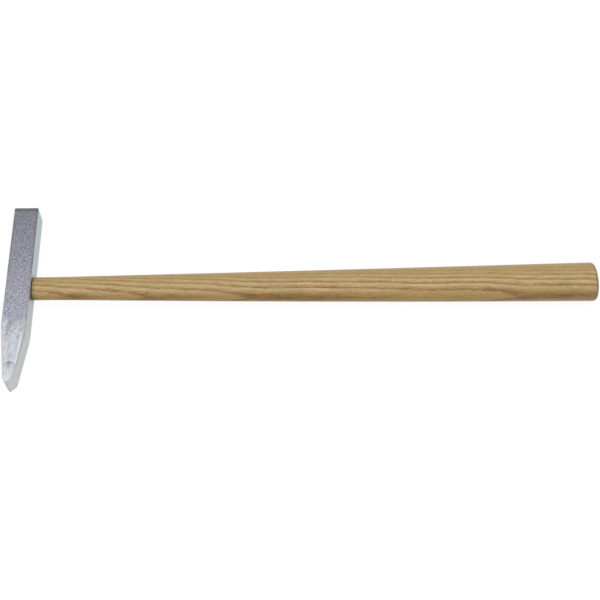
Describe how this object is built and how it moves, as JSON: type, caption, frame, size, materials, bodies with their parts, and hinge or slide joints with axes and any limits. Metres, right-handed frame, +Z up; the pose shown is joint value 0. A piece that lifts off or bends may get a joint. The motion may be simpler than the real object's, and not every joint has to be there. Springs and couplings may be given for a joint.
{
  "type": "chipping hammer",
  "caption": "Chipping hammer: square steel head with a flat poll and a blunt cross-ground chisel, on a long oval ash handle fixed in the eye by a wooden and a steel wedge.",
  "frame": {"origin": "middle of the hammer's bounding box, on the plane that it lies on", "axes": "+X along the handle from the head to the butt, +Y along the head to the flat poll, +Z up out of the side that the hammer lies on"},
  "size_m": [0.386, 0.1292, 0.0208],
  "materials": {
    "head": "speckled grey hammered lacquer on the bar, ground bright steel on the chisel end",
    "handle": "ash, turned and sanded, thin satin lacquer",
    "wooden_wedge": "bare sawn beech, end cut flush",
    "steel_wedge": "plain rolled steel, ground flush"
  },
  "bodies": {
    "root": {"head": "head", "handle": "handle", "wooden_wedge": "wooden_wedge", "steel_wedge": "steel_wedge"}
  },
  "joints": []
}
